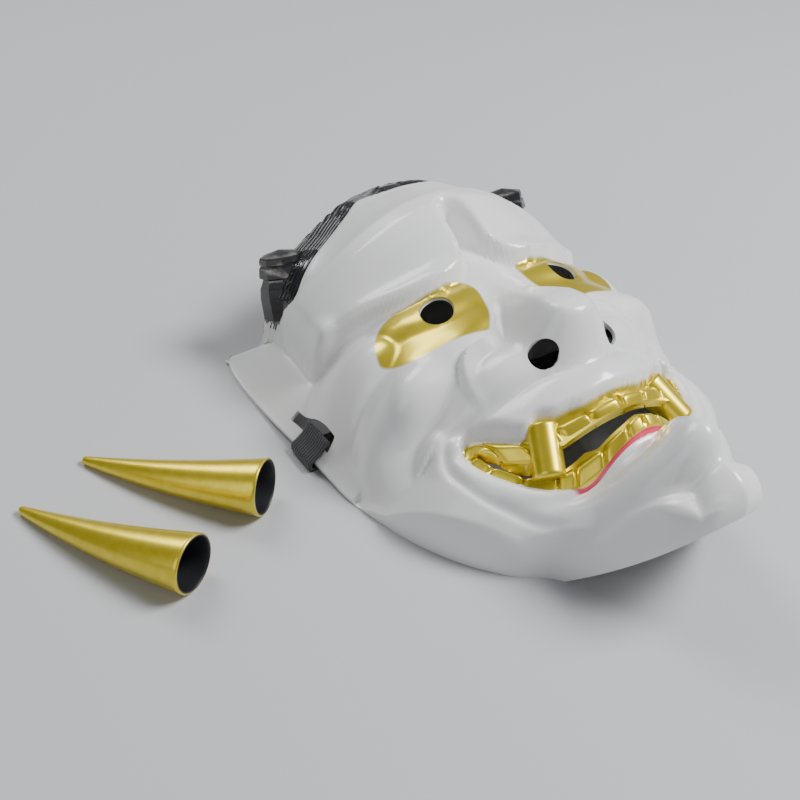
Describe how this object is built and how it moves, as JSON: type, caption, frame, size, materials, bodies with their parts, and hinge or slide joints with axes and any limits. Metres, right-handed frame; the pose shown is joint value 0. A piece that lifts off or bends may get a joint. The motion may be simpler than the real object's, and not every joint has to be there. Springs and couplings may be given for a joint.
{
  "type": "mask",
  "caption": "White moulded demon mask lying face up, with gold eyes and teeth, a black hair band, push-on gold horns lying beside it and an elastic strap behind",
  "frame": {"origin": "middle of the whole layout, on the floor", "axes": "+X across the mask with the loose horns at -X, +Y up the face towards the forehead, +Z out of the face, away from the floor"},
  "size_m": [0.2816, 0.225, 0.0754],
  "materials": {
    "shell_white": "moulded white plastic sheet with a soft gloss; eyes and teeth gold, hair band gloss black, lip line red",
    "gold_paint": "gold-painted plastic with a soft metallic gloss",
    "woven_elastic": "dark woven elastic"
  },
  "bodies": {
    "root": {"mask_shell": "shell_white", "elastic_strap": "woven_elastic", "horn_left": "gold_paint", "horn_right": "gold_paint"}
  },
  "joints": []
}
